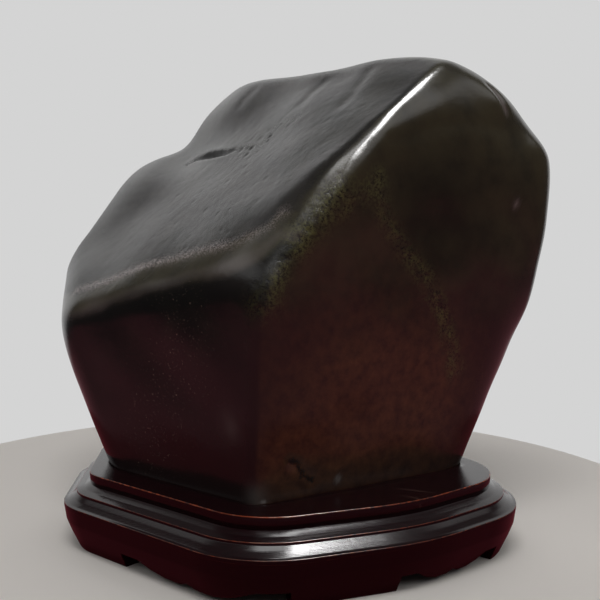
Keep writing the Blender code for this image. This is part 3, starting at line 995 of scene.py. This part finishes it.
# ---------------------------------------------------------------- studio
def add_light(name, place, aim, size, power, along=(0.0, 0.0, 1.0)):
    """An area light that the camera doesn't see, its length turned along a given way."""
    lamp = bpy.data.lights.new(name, "AREA")
    lamp.shape = "RECTANGLE"
    lamp.size, lamp.size_y = size
    lamp.energy = power
    holder = bpy.data.objects.new(name, lamp)
    holder.location = place
    back = (Vector(place) - Vector(aim)).normalized()
    side = Vector(along).cross(back).normalized()
    holder.rotation_euler = Matrix((side, back.cross(side), back)).transposed().to_euler()
    holder.visible_camera = False
    bpy.context.scene.collection.objects.link(holder)
    return holder


def make_floor():
    """A round table top: a flat disc whose rim rolls over a quarter circle and drops."""
    surface, shader = new_material("matt_pale_table", Roughness=0.8, Specular_IOR_Level=0.0)
    tree = surface.node_tree
    seen = add_node(tree, "LightPath").outputs["Is Camera Ray"]
    sockets = zip(MIX, (seen, linear(TABLE_IN_GLOSS), linear(TABLE)))
    shade = add_node(tree, "Mix", sockets, data_type="RGBA").outputs[MIXED]
    tree.links.new(shade, shader.inputs["Base Color"])
    angles = np.linspace(0, 2 * np.pi, FLOOR_SIDES, endpoint=False)
    circle = np.column_stack((np.cos(angles), np.sin(angles), np.zeros(FLOOR_SIDES)))
    turn = np.linspace(0, np.pi / 2, FLOOR_EDGE_POINTS)
    radii = (*FLOOR_RINGS, *(FLOOR_RADIUS - FLOOR_EDGE * (1 - np.sin(turn))), FLOOR_RADIUS)
    heights = (*np.zeros(len(FLOOR_RINGS)), *(FLOOR_EDGE * (np.cos(turn) - 1)), -FLOOR_SKIRT)
    rings = [FLOOR_MIDDLE + radius * circle + (0, 0, height) for radius, height in zip(radii, heights)]
    points, faces = lofted(rings, closed_ends=1)
    mesh_piece("floor", points, faces, surface)


def make_world():
    """Pale to the eye. To gloss, a dim room with a pale wall behind, a band of lit ceiling in
    front, and a red-brown floor below the table."""
    world = bpy.data.worlds.new("studio")
    world.use_nodes = True
    bpy.context.scene.world = world
    tree = world.node_tree
    around = add_node(tree, "TexCoord").outputs["Generated"]
    heading = add_node(tree, "SeparateXYZ", {"Vector": around}).outputs
    part = {}
    for parts, easing in ((ROOM, "SMOOTHSTEP"), (CEILING, "LINEAR")):
        for name, (axis, *limits) in parts.items():
            sockets = zip(RANGE, (heading[axis], *limits))
            node = add_node(tree, "MapRange", sockets, interpolation_type=easing)
            part[name] = node.outputs["Result"]
    sockets = {0: part["lower_edge"], 1: part["upper_edge"]}
    ceiling = add_node(tree, "Math", sockets, operation="MINIMUM").outputs[0]
    sockets = {0: ceiling, 1: part["ceiling_in_front"], 2: part["back_wall"]}
    room = add_node(tree, "Math", sockets, operation="MULTIPLY_ADD").outputs[0]
    sockets = zip(MIX, (part["below_the_table"], room, linear(ROOM_FLOOR)))
    mirrored = add_node(tree, "Mix", sockets, data_type="RGBA").outputs[MIXED]
    seen = add_node(tree, "LightPath").outputs["Is Camera Ray"]
    sockets = zip(MIX, (seen, mirrored, linear(BACKDROP)))
    shown = add_node(tree, "Mix", sockets, data_type="RGBA").outputs[MIXED]
    tree.links.new(shown, tree.nodes["Background"].inputs["Color"])


def make_camera():
    camera = bpy.data.cameras.new("camera")
    camera.lens, camera.sensor_width = LENS, SENSOR_WIDTH
    holder = bpy.data.objects.new("camera", camera)
    holder.location = CAMERA_PLACE
    holder.rotation_euler = (np.radians(90 - CAMERA_DIP), 0, 0)
    bpy.context.scene.collection.objects.link(holder)
    bpy.context.scene.camera = holder


stone_surface = polished_stone()
wood_surface = lacquered_wood()
stone = make_stone(stone_surface)
plan = Plan()
places = stations(plan)
seat = make_seat_board(plan, places, wood_surface)
base = make_stand_base(plan, places, wood_surface)
for piece, node, slot in (
    (stone, "scholars_rock", "polished_stone"),
    (seat, "seat_board", "lacquered_wood"),
    (base, "stand_base", "lacquered_wood"),
):
    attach(piece, "root")
    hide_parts(node)

make_floor()
make_world()
make_camera()
for name, settings in LIGHTS.items():
    add_light(name, *settings)
add_light("gloss_strip", *GLOSS_STRIP, GLOSS_STRIP_ALONG).visible_diffuse = False
bpy.context.scene.view_settings.view_transform = "Standard"
bpy.context.scene.view_settings.look = "None"
